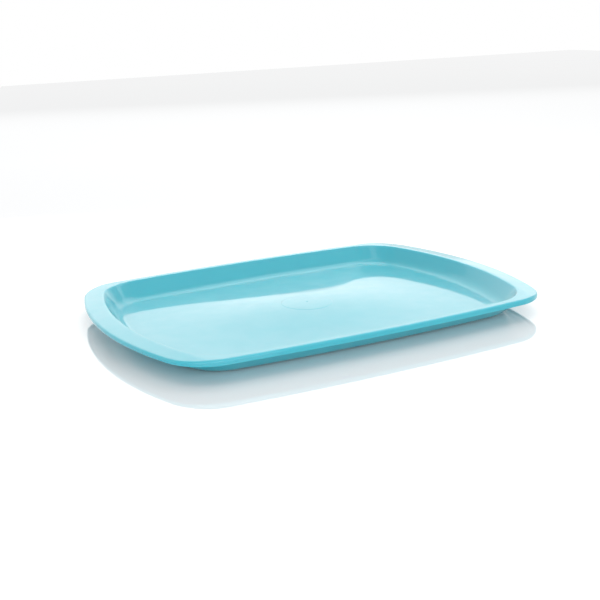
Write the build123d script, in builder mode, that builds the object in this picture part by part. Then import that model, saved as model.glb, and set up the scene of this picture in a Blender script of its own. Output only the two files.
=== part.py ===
"""Instrument tray: one plastic moulding with a bowed rim, raked end grips and a crowned floor.

The length runs along X and the width along Y. The origin is the middle of the tray's
footprint, on the surface that it stands on. All sizes are in millimetres.
"""

import os
from math import comb, cos, radians, tan

from build123d import *

# Outer edge of the rim, seen from above: overall size, and the radii of its bows and corners
tray_length = 340.0
tray_width = 245.0
rim_end_radius = 293.0
rim_side_radius = 1668.0
rim_corner_radius = 37.8

# Rim in section, with its lip turned down
rim_height = 17.2
rim_thickness = 2.5
lip_height = 4.2
lip_thickness = 2.2
rim_edge_round = 0.9
lip_foot_bevel = 0.4

# Width of the rim between the well and the outer edge
grip_width = 15.6
side_rim_width = 6.6

# The end grips fall outward, by an angle in degrees, past a level land beside the well
grip_land = 0.5
grip_rake = 5.0
grip_bend_radius = 20.0

# Well: radii of the rim's inner edge, and the corner where an end wall meets a side wall
well_end_radius = 279.0
well_side_radius = 1407.0
well_corner_radius = 44.0
well_edge_round = 1.1
floor_round = 12.0

# Walls: how far each leans out from upright, in degrees
end_wall_lean = 35.0
side_wall_lean = 44.0
wall_thickness = 2.6

# Floor: it rises to a low crown, inside the flat ring that the tray stands on
floor_thickness = 3.0
crown_height = 4.7
crown_margin = 1.0
crown_sink = 0.1

# Raised disc left by the round insert of the mould, with the gate mark at its middle
disc_radius = 20.5
disc_rise = 0.15
gate_mark_radius = 0.9
gate_mark_depth = 0.35

# Worked out from the sizes above
lip_level = rim_height - lip_height
base_round = floor_round + wall_thickness
well_length = tray_length - 2 * grip_width
well_width = tray_width - 2 * side_rim_width
bows = (
    (tray_length / 2, rim_end_radius, (1, 0)),
    (tray_length / 2, rim_end_radius, (-1, 0)),
    (tray_width / 2, rim_side_radius, (0, 1)),
    (tray_width / 2, rim_side_radius, (0, -1)),
)
walls = (
    (well_length / 2, well_end_radius, end_wall_lean, (1, 0)),
    (well_length / 2, well_end_radius, end_wall_lean, (-1, 0)),
    (well_width / 2, well_side_radius, side_wall_lean, (0, 1)),
    (well_width / 2, well_side_radius, side_wall_lean, (0, -1)),
)
standing = (Align.CENTER, Align.CENTER, Align.MIN)


def bowed_outline(inset):
    """Outer edge of the rim, set in by a constant width: four bows with rounded corners."""
    with BuildSketch() as outline:
        Circle(tray_length)
        for reach, radius, (x, y) in bows:
            with Locations((x * (reach - radius), y * (reach - radius))):
                Circle(radius - inset, mode=Mode.INTERSECT)
        fillet(outline.vertices(), rim_corner_radius - inset)
    return outline.sketch


def raked_disc(end, top):
    """Disc about the axis of one end bow, with a level top that falls away past the land."""
    centre = end * (well_length / 2 - well_end_radius)
    land_radius = well_end_radius + well_edge_round + grip_land
    with BuildPart() as disc:
        with BuildSketch(Plane((centre, 0, 0), x_dir=(1, 0, 0), z_dir=(0, -1, 0))):
            with BuildLine():
                land = Line((0, top), (land_radius, top))
                bend = JernArc(land @ 1, land % 1, grip_bend_radius, -grip_rake)
                slope = Line(bend @ 1, bend @ 1 + (bend % 1) * 2 * grip_width)
                Polyline(slope @ 1, ((slope @ 1).X, 0), (0, 0), (0, top))
            make_face()
        revolve(axis=Axis((centre, 0, 0), (0, 0, 1)))
    return disc.part


def rim_slab(inset, top):
    """Slab inside the rim's outline, from the lip's foot up to a top that falls at both grips."""
    with BuildPart() as slab:
        with BuildSketch(Plane.XY.offset(lip_level)):
            add(bowed_outline(inset))
        extrude(amount=top - lip_level)
        for end in (1, -1):
            add(raked_disc(end, top), mode=Mode.INTERSECT)
    return slab.part


def leaning_block(bottom, top, skin, foot_round):
    """Block inside the well's walls, or one skin outside them, with its foot rounded.

    The corners are rounded while the block still runs on above and below, and the block is
    then cut to its height.
    """
    low = bottom - rim_height
    high = top + rim_height
    with BuildPart() as block:
        with Locations((0, 0, low)):
            Cylinder(tray_length, high - low, align=standing)
        for reach, radius, lean, (x, y) in walls:
            slope = tan(radians(lean))
            outer_radius = radius + skin / cos(radians(lean))
            with Locations((x * (reach - radius), y * (reach - radius), low)):
                Cone(
                    outer_radius - (rim_height - low) * slope,
                    outer_radius + (high - rim_height) * slope,
                    high - low,
                    align=standing,
                    mode=Mode.INTERSECT,
                )
        corners = block.edges().filter_by(GeomType.CIRCLE, reverse=True)
        fillet(corners, radius=well_corner_radius + skin)
        with Locations((0, 0, bottom)):
            Box(tray_length, tray_width, top - bottom, align=standing, mode=Mode.INTERSECT)
        fillet(block.edges().group_by(Axis.Z)[0], radius=foot_round)
    return block.part


def crown(level):
    """Block under the crowned surface, whose skirt runs out a little under the level given.

    The surface is one smooth patch over a net of poles, and only the middle pole is raised.
    """
    half_length = well_length / 2 - rim_height * tan(radians(end_wall_lean)) - crown_margin
    half_width = well_width / 2 - rim_height * tan(radians(side_wall_lean)) - crown_margin
    degree = 6
    middle = degree // 2
    middle_weight = (comb(degree, middle) / 2**degree) ** 2
    skirt = level - crown_sink
    raised = skirt + (crown_height + crown_sink) / middle_weight
    net = [
        [
            (
                half_length * (row / middle - 1),
                half_width * (column / middle - 1),
                raised if row == column == middle else skirt,
            )
            for column in range(degree + 1)
        ]
        for row in range(degree + 1)
    ]
    with BuildPart() as block:
        extrude(Face.make_bezier_surface(net), amount=rim_height, dir=(0, 0, -1))
    return block.part


# Everything under the top of the raised disc, which follows the crown
with BuildPart() as disc:
    Cylinder(disc_radius, rim_height, align=standing)
    add(crown(floor_thickness + disc_rise), mode=Mode.INTERSECT)

# Space inside the well, over the crowned floor, with the pit of the gate mark
with BuildPart() as well:
    add(leaning_block(floor_thickness, rim_height, 0, floor_round))
    add(crown(floor_thickness), mode=Mode.SUBTRACT)
    add(disc.part, mode=Mode.SUBTRACT)
    with Locations((0, 0, floor_thickness + crown_height + disc_rise - gate_mark_depth)):
        Cylinder(gate_mark_radius, gate_mark_depth, align=standing)

with BuildPart() as tray:
    # Rim: a plate with a rounded edge and a turned-down lip, hollow behind the lip
    add(rim_slab(0, rim_height))
    bowed_sides = tray.faces().filter_by(GeomType.CYLINDER)
    bowed_edges = bowed_sides.edges().filter_by(GeomType.LINE, reverse=True)
    fillet(bowed_edges.filter_by_position(Axis.Z, lip_level + lip_foot_bevel, rim_height), rim_edge_round)
    add(rim_slab(lip_thickness, rim_height - rim_thickness), mode=Mode.SUBTRACT)
    chamfer(tray.faces().sort_by(Axis.Z)[0].edges(), length=lip_foot_bevel)

    # Pan: the leaning walls, and the base that the tray stands on
    add(leaning_block(0, rim_height - rim_thickness / 2, wall_thickness, base_round))
    add(well.part, mode=Mode.SUBTRACT)
    add(crown(0), mode=Mode.SUBTRACT)

    # Rounded edge where the well opens
    fillet(tray.faces().sort_by(Axis.Z)[-1].inner_wires().edges(), radius=well_edge_round)

tray.part.label = "tray"

os.makedirs("parts", exist_ok=True)
export_step(tray.part, "parts/tray.step")
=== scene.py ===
"""Looks of the instrument tray: a smooth moulded shell in glossy turquoise plastic.

The shell is swept round the tray. One section is worked out at each place along the outline,
from the level part of the floor up the wall, over the rim, round the turned-down lip and
back under the rim to the base. Rings then close the crowned middle above and below. All
sizes are in metres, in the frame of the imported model.
"""

import logging
import math
from dataclasses import dataclass, field
from enum import Enum

import bmesh
import bpy
from mathutils import Matrix, Vector

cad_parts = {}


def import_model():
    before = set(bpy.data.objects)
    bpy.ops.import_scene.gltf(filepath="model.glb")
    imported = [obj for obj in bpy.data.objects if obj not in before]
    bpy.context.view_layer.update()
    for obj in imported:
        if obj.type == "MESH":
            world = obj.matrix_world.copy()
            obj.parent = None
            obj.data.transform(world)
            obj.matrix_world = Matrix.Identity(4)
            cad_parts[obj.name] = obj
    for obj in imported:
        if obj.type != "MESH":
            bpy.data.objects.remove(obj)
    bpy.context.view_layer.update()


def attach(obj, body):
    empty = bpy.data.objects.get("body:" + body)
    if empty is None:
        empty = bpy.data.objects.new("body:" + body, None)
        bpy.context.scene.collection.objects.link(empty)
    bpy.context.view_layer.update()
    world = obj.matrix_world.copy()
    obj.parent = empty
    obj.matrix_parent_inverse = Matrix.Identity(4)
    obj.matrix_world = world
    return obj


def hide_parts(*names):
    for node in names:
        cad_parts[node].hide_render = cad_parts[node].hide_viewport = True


LOG = logging.getLogger("tray")
MM = 0.001


class Socket(Enum):
    """Names of the shader's sockets that the finishes set or link."""

    COLOUR = "Base Color"
    ROUGHNESS = "Roughness"
    IOR = "IOR"
    NORMAL = "Normal"
    COAT = "Coat Weight"
    COAT_ROUGHNESS = "Coat Roughness"
    COAT_IOR = "Coat IOR"
    COAT_NORMAL = "Coat Normal"
    GLOW = "Subsurface Weight"
    GLOW_REACH = "Subsurface Radius"
    GLOW_SCALE = "Subsurface Scale"


class MixSlot(Enum):
    """Positions of the colour sockets on a mix node, where several share one name."""

    FIRST = 6
    SECOND = 7
    RESULT = 2


class Side(Enum):
    """The two sides of the tray's crowned middle."""

    FLOOR = "floor"
    BASE = "base"


def arc(centre: Vector, radius: float, start: float, stop: float, steps: int) -> list[Vector]:
    """Samples an arc in the plane of a section, where X runs outward and Y up.

    Args:
        centre: middle of the arc.
        radius: radius of the arc.
        start: angle of the first point, in radians.
        stop: angle of the last point, in radians.
        steps: number of equal steps between them.

    Returns:
        The points, both ends included.
    """
    angles = [start + (stop - start) * step / steps for step in range(steps + 1)]
    return [centre + radius * Vector((math.cos(angle), math.sin(angle))) for angle in angles]


def between(start: Vector, stop: Vector, steps: int) -> list[Vector]:
    """Points that divide a straight line into equal steps, without its two ends."""
    return [start.lerp(stop, step / steps) for step in range(1, steps)]


def lift(origin: Vector, outward: Vector, section: list[Vector]) -> list[Vector]:
    """Puts the points of a section into the frame of the model.

    Args:
        origin: place of the section's zero, seen from above.
        outward: direction of the section's X, seen from above.
        section: points with X outward and Y up.

    Returns:
        The points in the frame of the model.
    """
    return [Vector((*(origin + outward * point.x), point.y)) for point in section]


@dataclass(frozen=True)
class Outline:
    """A closed outline of two end bows and two side bows, with rounded corners.

    It is sampled bow by bow, so that one index means the same place on every outline.
    """

    end_reach: float
    side_reach: float
    end_radius: float
    side_radius: float
    corner_radius: float

    def drawn_in(self, at_ends: float, at_sides: float, corner_radius: float) -> "Outline":
        """Works out an outline that lies inside this one.

        Args:
            at_ends: how far it is drawn in at the two ends.
            at_sides: how far it is drawn in at the two sides.
            corner_radius: radius of its own corners.

        Returns:
            The outline, whose bows share their centres with this one's.
        """
        return Outline(
            self.end_reach - at_ends,
            self.side_reach - at_sides,
            self.end_radius - at_ends,
            self.side_radius - at_sides,
            corner_radius,
        )

    def corner_centre(self) -> Vector:
        """Finds the middle of the rounded corner in the quarter where X and Y are positive.

        Returns:
            The point that lies one corner radius inside both bows.
        """
        first = Vector((self.end_reach - self.end_radius, 0.0))
        second = Vector((0.0, self.side_reach - self.side_radius))
        first_gap = self.end_radius - self.corner_radius
        second_gap = self.side_radius - self.corner_radius
        line = second - first
        along = (first_gap**2 - second_gap**2 + line.length_squared) / (2 * line.length)
        across = math.sqrt(first_gap**2 - along**2)
        unit = line.normalized()
        return first + unit * along + Vector((-unit.y, unit.x)) * across

    def quarter(self, end_steps: int, corner_steps: int, side_steps: int) -> list[tuple[Vector, Vector]]:
        """Samples the outline from the +X axis round to the +Y axis.

        Args:
            end_steps: steps along half of an end bow.
            corner_steps: steps round the corner.
            side_steps: steps along half of a side bow.

        Returns:
            Pairs of a point and its outward normal, both ends included.
        """
        corner = self.corner_centre()
        end_centre = Vector((self.end_reach - self.end_radius, 0.0))
        side_centre = Vector((0.0, self.side_reach - self.side_radius))
        to_end = corner - end_centre
        to_side = corner - side_centre
        end_angle = math.atan2(to_end.y, to_end.x)
        side_angle = math.atan2(to_side.y, to_side.x)
        runs = (
            (end_centre, self.end_radius, 0.0, end_angle, end_steps),
            (corner, self.corner_radius, end_angle, side_angle, corner_steps),
            (side_centre, self.side_radius, side_angle, math.pi / 2, side_steps),
        )
        samples = []
        for centre, radius, start, stop, steps in runs:
            for step in range(1 if samples else 0, steps + 1):
                angle = start + (stop - start) * step / steps
                normal = Vector((math.cos(angle), math.sin(angle)))
                samples.append((centre + normal * radius, normal))
        return samples


@dataclass(frozen=True)
class Place:
    """One place along the outline, seen from above."""

    foot: Vector
    brink: Vector
    edge: Vector
    normal: Vector

    def mirrored(self, sign_x: int, sign_y: int) -> "Place":
        """The same place in another quarter of the tray."""
        flip = Matrix(((sign_x, 0), (0, sign_y)))
        return Place(flip @ self.foot, flip @ self.brink, flip @ self.edge, flip @ self.normal)


@dataclass(frozen=True)
class Wall:
    """The leaning wall at one place: its foot, its direction, its width and its lean."""

    foot: Vector
    outward: Vector
    width: float
    lean: float

    def reach(self) -> float:
        """Width that a round of radius 1 takes between the wall and a level surface."""
        return math.tan(math.pi / 4 - self.lean / 2)


@dataclass(frozen=True)
class Rake:
    """The fall of the end grips, outward from a level land beside the well."""

    centre: float = 124.6 * MM
    land_radius: float = 280.6 * MM
    bend_radius: float = 20.0 * MM
    slope: float = math.radians(5.0)

    def fall(self, x: float, y: float) -> float:
        """Works out how far the rim's top lies below its level part.

        Args:
            x: place along the tray's length.
            y: place along the tray's width.

        Returns:
            The drop, which is zero on the land and follows the bend and then the slope.
        """
        out = math.hypot(abs(x) + self.centre, y) - self.land_radius
        bend_end = self.bend_radius * math.sin(self.slope)
        if out <= 0:
            return 0.0
        if out < bend_end:
            return self.bend_radius - math.sqrt(self.bend_radius**2 - out**2)
        drop = self.bend_radius * (1 - math.cos(self.slope))
        return drop + (out - bend_end) * math.tan(self.slope)


@dataclass(frozen=True)
class Crown:
    """The low crown of the floor: highest in the middle and level towards the walls."""

    half_length: float = 147.1 * MM
    half_width: float = 98.7 * MM
    height: float = 4.7 * MM

    def rise(self, x: float, y: float) -> float:
        """Works out the height of the crown above the level part of the floor.

        Args:
            x: place along the tray's length.
            y: place along the tray's width.

        Returns:
            The rise, which is zero past the crown's own length and width.
        """
        lengthwise = max(0.0, 1 - (x / self.half_length) ** 2)
        widthwise = max(0.0, 1 - (y / self.half_width) ** 2)
        return self.height * (lengthwise * widthwise) ** 3


@dataclass(frozen=True)
class Mark:
    """A round step in the floor: raised where its rise is positive, sunk where it is negative."""

    radius: float
    rise: float
    soft: float

    def height(self, radius: float) -> float:
        """Works out what the mark adds to the floor.

        Args:
            radius: distance from the middle of the tray.

        Returns:
            The height, which blends smoothly across the mark's soft edge.
        """
        share = min(1.0, max(0.0, (self.radius + self.soft - radius) / (2 * self.soft)))
        return self.rise * share * share * (3 - 2 * share)


@dataclass(frozen=True)
class Middle:
    """The crowned middle of the tray, with the raised disc and the pit of the gate mark.

    Its rings turn from the shape of the outline into circles that fit the disc.
    """

    crown: Crown = field(default_factory=Crown)
    disc: Mark = Mark(20.5 * MM, 0.15 * MM, 0.25 * MM)
    gate: Mark = Mark(0.9 * MM, -0.2 * MM, 0.12 * MM)
    reach: float = 100.0 * MM
    round_margin: float = 2.0 * MM
    turn_power: float = 1.5

    # Rings outside the disc, about its edge in millimetres, and as shares of the marks' radii
    outer_steps: int = 56
    outer_margin: float = 1.5 * MM
    edge_offsets: tuple[float, ...] = (1.0, 0.5, 0.25, 0.12, 0.0, -0.12, -0.25, -0.6)
    disc_shares: tuple[float, ...] = (0.9, 0.8, 0.7, 0.6, 0.5, 0.4, 0.3, 0.2, 0.12)
    gate_shares: tuple[float, ...] = (1.5, 1.2, 1.08, 1.0, 0.9, 0.75, 0.4)

    def radii(self) -> list[float]:
        """Lists the rings, which are close together where the floor steps.

        Returns:
            The radius of each ring, from the outer one inward.
        """
        outer = [self.reach * (1 - step / self.outer_steps) for step in range(1, self.outer_steps)]
        radii = [radius for radius in outer if radius > self.disc.radius + self.outer_margin]
        radii += [self.disc.radius + offset * MM for offset in self.edge_offsets]
        radii += [self.disc.radius * share for share in self.disc_shares]
        radii += [self.gate.radius * share for share in self.gate_shares]
        return radii

    def rings(self, start: list[Vector], side: Side) -> list[list[Vector]]:
        """Works out the rings from the outline's shape inward to the middle.

        Args:
            start: the ring that they join, in the frame of the model.
            side: the floor, which has the two marks, or the base, which has none.

        Returns:
            The rings, from the outer one inward.
        """
        round_within = self.disc.radius + self.round_margin
        rings = []
        for radius in self.radii():
            marks = self.disc.height(radius) + self.gate.height(radius) if side is Side.FLOOR else 0.0
            far = max(0.0, (radius - round_within) / (self.reach - round_within))
            ring = []
            for point in start:
                flat = Vector((point.x, point.y))
                spot = (flat.normalized() * radius).lerp(flat, far**self.turn_power)
                height = point.z + self.crown.rise(spot.x, spot.y) + marks
                ring.append(Vector((spot.x, spot.y, height)))
            rings.append(ring)
        return rings


@dataclass(frozen=True)
class Noise:
    """A noise over the object's own space, with its scale and its number of layers."""

    scale: float
    detail: float

    def output(self, tree: bpy.types.NodeTree) -> bpy.types.NodeSocket:
        """Adds the noise to a material.

        Args:
            tree: the nodes of the material.

        Returns:
            The socket that gives the noise.
        """
        place = tree.nodes.new("ShaderNodeTexCoord")
        noise = tree.nodes.new("ShaderNodeTexNoise")
        noise.inputs["Scale"].default_value = self.scale
        noise.inputs["Detail"].default_value = self.detail
        tree.links.new(place.outputs["Object"], noise.inputs["Vector"])
        return noise.outputs["Fac"]


@dataclass(frozen=True)
class Relief:
    """A relief too fine for the mesh, with its noise, its strength and its depth."""

    noise: Noise
    strength: float
    depth: float

    def output(self, tree: bpy.types.NodeTree) -> bpy.types.NodeSocket:
        """Adds the relief to a material.

        Args:
            tree: the nodes of the material.

        Returns:
            The socket that gives the normal.
        """
        bump = tree.nodes.new("ShaderNodeBump")
        bump.inputs["Strength"].default_value = self.strength
        bump.inputs["Distance"].default_value = self.depth
        tree.links.new(self.noise.output(tree), bump.inputs["Height"])
        return bump.outputs["Normal"]


@dataclass(frozen=True)
class GlossyPlastic:
    """Smooth moulded plastic: a sharp gloss over a hazy body that light passes into."""

    colour: tuple[float, float, float] = (0.042, 0.425, 0.515)
    paler_colour: tuple[float, float, float] = (0.052, 0.445, 0.535)
    roughness: float = 0.38
    roughness_change: float = 0.03
    ior: float = 1.30
    coat_ior: float = 1.42
    coat_roughness: float = 0.04
    glow_depth: float = 2.0 * MM
    glow_reach: tuple[float, float, float] = (0.3, 1.0, 1.1)
    clouds: Noise = Noise(18.0, 3.0)
    haze: Noise = Noise(60.0, 5.0)
    haze_range: tuple[float, float] = (0.35, 0.65)
    waves: Relief = Relief(Noise(22.0, 1.0), 0.25, 0.4 * MM)
    grain: Relief = Relief(Noise(900.0, 2.0), 0.05, 0.1 * MM)

    def constants(self) -> dict[Socket, float | tuple[float, ...]]:
        """Lists what is the same all over the surface.

        Returns:
            The value of each such socket of the shader.
        """
        return {
            Socket.IOR: self.ior,
            Socket.COAT: 1.0,
            Socket.COAT_ROUGHNESS: self.coat_roughness,
            Socket.COAT_IOR: self.coat_ior,
            Socket.GLOW: 1.0,
            Socket.GLOW_REACH: self.glow_reach,
            Socket.GLOW_SCALE: self.glow_depth,
        }

    def tint(self, tree: bpy.types.NodeTree) -> bpy.types.NodeSocket:
        """Adds the colour, which drifts a little in soft clouds.

        Args:
            tree: the nodes of the material.

        Returns:
            The socket that gives the colour.
        """
        mix = tree.nodes.new("ShaderNodeMix")
        mix.data_type = "RGBA"
        mix.inputs[MixSlot.FIRST.value].default_value = (*self.colour, 1.0)
        mix.inputs[MixSlot.SECOND.value].default_value = (*self.paler_colour, 1.0)
        tree.links.new(self.clouds.output(tree), mix.inputs["Factor"])
        return mix.outputs[MixSlot.RESULT.value]

    def blur(self, tree: bpy.types.NodeTree) -> bpy.types.NodeSocket:
        """Adds the roughness of the body, which changes a little from spot to spot.

        Args:
            tree: the nodes of the material.

        Returns:
            The socket that gives the roughness.
        """
        blur = tree.nodes.new("ShaderNodeMapRange")
        blur.inputs["From Min"].default_value = self.haze_range[0]
        blur.inputs["From Max"].default_value = self.haze_range[1]
        blur.inputs["To Min"].default_value = self.roughness - self.roughness_change
        blur.inputs["To Max"].default_value = self.roughness + self.roughness_change
        tree.links.new(self.haze.output(tree), blur.inputs["Value"])
        return blur.outputs["Result"]

    def material(self) -> bpy.types.Material:
        """Builds the node material.

        Returns:
            The material, ready for a mesh slot.
        """
        material = bpy.data.materials.new("turquoise_plastic")
        material.use_nodes = True
        tree = material.node_tree
        sockets = tree.nodes["Principled BSDF"].inputs
        for socket, value in self.constants().items():
            sockets[socket.value].default_value = value
        tree.links.new(self.tint(tree), sockets[Socket.COLOUR.value])
        tree.links.new(self.blur(tree), sockets[Socket.ROUGHNESS.value])
        waves = self.waves.output(tree)
        grain = self.grain.output(tree)
        tree.links.new(waves, grain.node.inputs["Normal"])
        tree.links.new(waves, sockets[Socket.COAT_NORMAL.value])
        tree.links.new(grain, sockets[Socket.NORMAL.value])
        return material


@dataclass(frozen=True)
class WhiteGloss:
    """The table's white top: nearly a mirror for what stands on it."""

    colour: tuple[float, float, float] = (0.86, 0.87, 0.88)
    roughness: float = 0.03
    ior: float = 2.2

    def material(self) -> bpy.types.Material:
        """Builds the node material.

        Returns:
            The material, ready for a mesh slot.
        """
        material = bpy.data.materials.new("white_gloss")
        material.use_nodes = True
        sockets = material.node_tree.nodes["Principled BSDF"].inputs
        sockets[Socket.COLOUR.value].default_value = (*self.colour, 1.0)
        sockets[Socket.IOR.value].default_value = self.ior
        sockets[Socket.ROUGHNESS.value].default_value = self.roughness
        return material


@dataclass(frozen=True)
class TrayShell:
    """The moulded tray as one closed mesh with rounded edges."""

    height: float = 17.2 * MM
    floor: float = 3.0 * MM
    skin: float = 2.6 * MM
    rim_thickness: float = 2.5 * MM
    lip_height: float = 4.2 * MM
    lip_thickness: float = 2.2 * MM

    # Rounds: at the well's foot and brink, at the rim's edge, at the lip's foot and under the rim
    floor_round: float = 12.0 * MM
    brink_round: float = 1.8 * MM
    edge_round: float = 1.9 * MM
    lip_round: float = 0.4 * MM
    under_round: float = 1.5 * MM

    # The solid's outer edge seen from above, and the shell's, which stays a hair inside it
    solid_rim: Outline = Outline(170.0 * MM, 122.5 * MM, 293.0 * MM, 1668.0 * MM, 37.8 * MM)
    rim: Outline = solid_rim.drawn_in(0.02 * MM, 0.05 * MM, 37.8 * MM)

    # The well's brink, and the foot of its walls, which lean more at the sides than at the ends
    brink: Outline = Outline(154.4 * MM, 115.9 * MM, 279.0 * MM, 1407.0 * MM, 41.2 * MM)
    foot: Outline = brink.drawn_in(9.4 * MM, 13.71 * MM, 30.0 * MM)

    # Steps of the mesh: round the outline, and along each stretch of the section
    end_steps: int = 34
    corner_steps: int = 30
    side_steps: int = 34
    floor_steps: int = 14
    base_steps: int = 12
    wall_steps: int = 6
    edge_steps: int = 8
    rim_steps: int = 12
    lip_steps: int = 3
    lip_round_steps: int = 4
    ceiling_steps: int = 7
    under_steps: int = 6

    middle: Middle = field(default_factory=Middle)
    rake: Rake = field(default_factory=Rake)
    finish: GlossyPlastic = field(default_factory=GlossyPlastic)

    def places(self) -> list[Place]:
        """Lists the places round the tray, anticlockwise from the +X axis.

        Returns:
            The places of all four quarters.
        """
        counts = (self.end_steps, self.corner_steps, self.side_steps)
        outlines = [outline.quarter(*counts) for outline in (self.foot, self.brink, self.rim)]
        quarter = [Place(foot[0], brink[0], edge[0], edge[1]) for foot, brink, edge in zip(*outlines)]
        places = []
        for sign_x, sign_y in ((1, 1), (-1, 1), (-1, -1), (1, -1)):
            part = quarter if sign_x == sign_y else quarter[::-1]
            places += [place.mirrored(sign_x, sign_y) for place in part[:-1]]
        return places

    def wall(self, place: Place) -> Wall:
        """Works out the wall between the level floor and the brink.

        Args:
            place: the place along the outline.

        Returns:
            The wall at that place.
        """
        across = place.brink - place.foot
        lean = math.atan2(across.length, self.height - self.floor)
        return Wall(place.foot, across.normalized(), across.length, lean)

    def well_side(self, place: Place) -> list[Vector]:
        """Works out the section from the level floor up the wall and over the brink.

        Args:
            place: the place along the outline.

        Returns:
            Points in the frame of the model.
        """
        wall = self.wall(place)
        bend = Vector((-self.floor_round * wall.reach(), self.floor + self.floor_round))
        low = arc(bend, self.floor_round, -math.pi / 2, -wall.lean, self.floor_steps)
        turn = Vector((wall.width + self.brink_round * wall.reach(), self.height - self.brink_round))
        over = arc(turn, self.brink_round, math.pi - wall.lean, math.pi / 2, self.edge_steps)
        return lift(wall.foot, wall.outward, low + between(low[-1], over[0], self.wall_steps) + over)

    def rim_side(self, place: Place, start: Vector) -> list[Vector]:
        """Works out the section from the brink over the rim and round the lip.

        Args:
            place: the place along the outline.
            start: the last point of the well's side, in the frame of the model.

        Returns:
            Points in the frame of the model, down to the inner side of the lip's foot.
        """
        inner = Vector((start.x, start.y))
        outer = place.edge - place.normal * self.edge_round
        top = []
        for step in range(1, self.rim_steps + 1):
            flat = inner.lerp(outer, step / self.rim_steps)
            top.append(Vector((*flat, self.height - self.rake.fall(*flat))))
        turn = Vector((-self.edge_round, top[-1].z - self.edge_round))
        edge = arc(turn, self.edge_round, math.pi / 2, 0.0, self.edge_steps)[1:]
        level = self.height - self.lip_height + self.lip_round
        edge += between(edge[-1], Vector((0.0, level)), self.lip_steps)
        turn = Vector((-self.lip_round, level))
        edge += arc(turn, self.lip_round, 0.0, -math.pi / 2, self.lip_round_steps)
        turn = Vector((self.lip_round - self.lip_thickness, level))
        edge += arc(turn, self.lip_round, -math.pi / 2, -math.pi, self.lip_round_steps)
        return top + lift(place.edge, place.normal, edge)

    def under_side(self, place: Place, start: Vector) -> list[Vector]:
        """Works out the section from behind the lip, under the rim and down to the base.

        Args:
            place: the place along the outline.
            start: the last point of the rim's side, in the frame of the model.

        Returns:
            Points in the frame of the model.
        """
        wall = self.wall(place)
        slope = math.tan(wall.lean)
        base_round = self.floor_round + self.skin
        ceiling = self.height - self.rim_thickness
        outer_width = wall.width + self.skin / math.cos(wall.lean)
        meet = outer_width - self.rim_thickness * slope
        join = lift(wall.foot, wall.outward, [Vector((meet, ceiling))])[0]
        level = ceiling - self.rake.fall(join.x, join.y)
        turn = Vector((meet + self.under_round * wall.reach(), level - self.under_round))
        corner = arc(turn, self.under_round, math.pi / 2, math.pi - wall.lean, self.under_steps)
        turn = Vector((outer_width - self.height * slope - base_round * wall.reach(), base_round))
        bottom = arc(turn, base_round, -wall.lean, -math.pi / 2, self.base_steps)
        section = corner + between(corner[-1], bottom[0], self.wall_steps) + bottom
        outside = lift(wall.foot, wall.outward, section)
        under = []
        for step in range(self.ceiling_steps):
            spot = start.lerp(outside[0], step / self.ceiling_steps)
            under.append(Vector((spot.x, spot.y, ceiling - self.rake.fall(spot.x, spot.y))))
        return under + outside

    def closed_mesh(self, rings: list[list[Vector]]) -> bpy.types.Mesh:
        """Joins the rings into a mesh, closes both ends and turns its faces outward.

        Args:
            rings: rings of equally many points, from the middle of the floor to that of the base.

        Returns:
            The mesh, smooth shaded.
        """
        count = len(rings[0])
        vertices = [tuple(point) for ring in rings for point in ring]
        faces = []
        for row in range(len(rings) - 1):
            for column in range(count):
                here = row * count + column
                following = row * count + (column + 1) % count
                faces.append((here, following, following + count, here + count))
        for row in (0, len(rings) - 1):
            middle = len(vertices)
            vertices.append((0.0, 0.0, sum(point.z for point in rings[row]) / count))
            for column in range(count):
                faces.append((middle, row * count + (column + 1) % count, row * count + column))
        mesh = bpy.data.meshes.new("tray_shell")
        mesh.from_pydata(vertices, [], faces)
        work = bmesh.new()
        work.from_mesh(mesh)
        bmesh.ops.recalc_face_normals(work, faces=work.faces)
        work.to_mesh(mesh)
        work.free()
        mesh.polygons.foreach_set("use_smooth", [True] * len(mesh.polygons))
        mesh.validate()
        return mesh

    def build(self) -> bpy.types.Object:
        """Makes the tray and dresses it.

        Returns:
            The tray's object, standing on the level z = 0.
        """
        columns = []
        for place in self.places():
            well = self.well_side(place)
            rim = self.rim_side(place, well[-1])
            columns.append(well + rim + self.under_side(place, rim[-1]))
        loops = [list(loop) for loop in zip(*columns)]
        above = self.middle.rings(loops[0], Side.FLOOR)[::-1]
        below = self.middle.rings(loops[-1], Side.BASE)
        mesh = self.closed_mesh(above + loops + below)
        mesh.materials.append(self.finish.material())
        shell = bpy.data.objects.new("tray_shell", mesh)
        bpy.context.scene.collection.objects.link(shell)
        return shell


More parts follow.
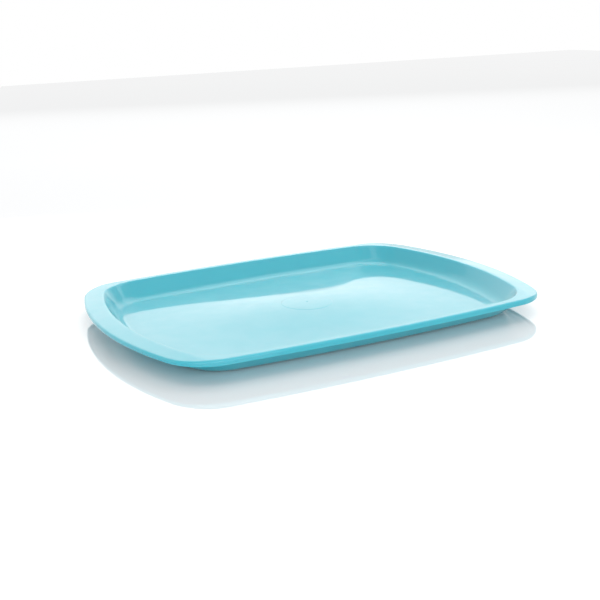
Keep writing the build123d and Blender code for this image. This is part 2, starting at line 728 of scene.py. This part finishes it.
@dataclass(frozen=True)
class Viewpoint:
    """Where the camera stands, how it is turned and how long its lens is."""

    azimuth: float = math.radians(-27.54)
    elevation: float = math.radians(15.95)
    roll: float = math.radians(-1.94)
    distance: float = 0.83105
    offset: tuple[float, float] = (-0.00540, 0.00904)
    focal_pixels: float = 1031.49
    picture_pixels: float = 600.0
    sensor_width: float = 36.0
    near: float = 0.01
    far: float = 50.0

    def build(self) -> bpy.types.Object:
        """Adds the camera.

        Returns:
            The camera's object, set as the scene's camera.
        """
        back = Vector(
            (
                math.sin(self.azimuth) * math.cos(self.elevation),
                -math.cos(self.azimuth) * math.cos(self.elevation),
                math.sin(self.elevation),
            )
        )
        right = (-back).cross(Vector((0, 0, 1))).normalized()
        up = right.cross(-back)
        spot = back * self.distance + right * self.offset[0] + up * self.offset[1]
        cosine, sine = math.cos(self.roll), math.sin(self.roll)
        right, up = right * cosine + up * sine, up * cosine - right * sine
        data = bpy.data.cameras.new("camera")
        data.sensor_fit = "HORIZONTAL"
        data.sensor_width = self.sensor_width
        data.lens = self.focal_pixels * self.sensor_width / self.picture_pixels
        data.clip_start = self.near
        data.clip_end = self.far
        camera = bpy.data.objects.new("camera", data)
        axes = Matrix((right, up, back)).transposed().to_4x4()
        camera.matrix_world = Matrix.Translation(spot) @ axes
        bpy.context.scene.collection.objects.link(camera)
        bpy.context.scene.camera = camera
        return camera


@dataclass(frozen=True)
class Softbox:
    """A rectangular lamp, placed by its direction from the tray.

    Azimuth 0 is behind the tray and azimuth 90 is to its right.
    """

    name: str
    azimuth: float
    elevation: float
    distance: float
    size: tuple[float, float]
    radiance: float

    def spot(self) -> Vector:
        """Works out where the lamp stands.

        Returns:
            The middle of its face.
        """
        turn, rise = math.radians(self.azimuth), math.radians(self.elevation)
        level = Vector((math.sin(turn), math.cos(turn), 0.0)) * math.cos(rise)
        return (level + Vector((0.0, 0.0, math.sin(rise)))) * self.distance

    def build(self) -> bpy.types.Object:
        """Adds the lamp, facing the tray.

        Returns:
            The lamp's object.
        """
        data = bpy.data.lights.new(self.name, "AREA")
        data.shape = "RECTANGLE"
        data.size, data.size_y = self.size
        data.energy = self.radiance * math.pi * data.size * data.size_y
        spot = self.spot()
        lamp = bpy.data.objects.new(self.name, data)
        lamp.location = spot
        lamp.rotation_euler = (-spot).to_track_quat("-Z", "Y").to_euler()
        lamp.visible_camera = False
        bpy.context.scene.collection.objects.link(lamp)
        return lamp


@dataclass(frozen=True)
class Studio:
    """The table, the white surroundings, the lamps and the camera."""

    ambient: float = 0.75
    table_reach: float = 3.0
    table_finish: WhiteGloss = field(default_factory=WhiteGloss)
    viewpoint: Viewpoint = field(default_factory=Viewpoint)
    softboxes: tuple[Softbox, ...] = (
        Softbox("softbox_back", 20.0, 25.0, 1.8, (2.9, 1.1), 0.7),
        Softbox("softbox_top", 55.0, 54.0, 1.5, (1.2, 0.7), 1.6),
        Softbox("softbox_zenith", 180.0, 84.0, 1.5, (1.0, 0.5), 1.2),
        Softbox("softbox_front", 200.0, 22.0, 1.6, (2.2, 0.6), 3.1),
    )

    def table(self) -> bpy.types.Object:
        """Adds the table top, which isn't part of the object.

        Returns:
            The table top's object.
        """
        reach = self.table_reach
        mesh = bpy.data.meshes.new("table_top")
        corners = [(-reach, -reach, 0), (reach, -reach, 0), (reach, reach, 0), (-reach, reach, 0)]
        mesh.from_pydata(corners, [], [(0, 1, 2, 3)])
        mesh.materials.append(self.table_finish.material())
        table = bpy.data.objects.new("table_top", mesh)
        bpy.context.scene.collection.objects.link(table)
        return table

    def surroundings(self) -> bpy.types.World:
        """Sets the surroundings: white to the eye and in reflections, dimmer as light.

        Returns:
            The world, set as the scene's world.
        """
        world = bpy.data.worlds.new("surroundings")
        world.use_nodes = True
        nodes, links = world.node_tree.nodes, world.node_tree.links
        path = nodes.new("ShaderNodeLightPath")
        seen = nodes.new("ShaderNodeMath")
        seen.operation = "MAXIMUM"
        links.new(path.outputs["Is Camera Ray"], seen.inputs[0])
        links.new(path.outputs["Is Glossy Ray"], seen.inputs[1])
        level = nodes.new("ShaderNodeMapRange")
        level.inputs["To Min"].default_value = self.ambient
        level.inputs["To Max"].default_value = 1.0
        links.new(seen.outputs["Value"], level.inputs["Value"])
        shade = nodes["Background"]
        shade.inputs["Color"].default_value = (1.0, 1.0, 1.0, 1.0)
        links.new(level.outputs["Result"], shade.inputs["Strength"])
        bpy.context.scene.world = world
        return world

    def build(self) -> None:
        """Puts the whole studio together and reports each piece."""
        for made in (self.viewpoint.build(), self.table(), self.surroundings()):
            LOG.info("studio: %s", made.name)
        for softbox in self.softboxes:
            LOG.info("studio: %s", softbox.build().name)
        bpy.context.scene.view_settings.view_transform = "Standard"


def main() -> None:
    """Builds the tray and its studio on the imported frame."""
    logging.basicConfig(level=logging.INFO, format="%(message)s")
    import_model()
    shell = TrayShell().build()
    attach(shell, "root")
    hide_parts("tray")
    LOG.info("tray: %s, %d vertices", shell.name, len(shell.data.vertices))
    Studio().build()


if __name__ == "__main__":
    main()
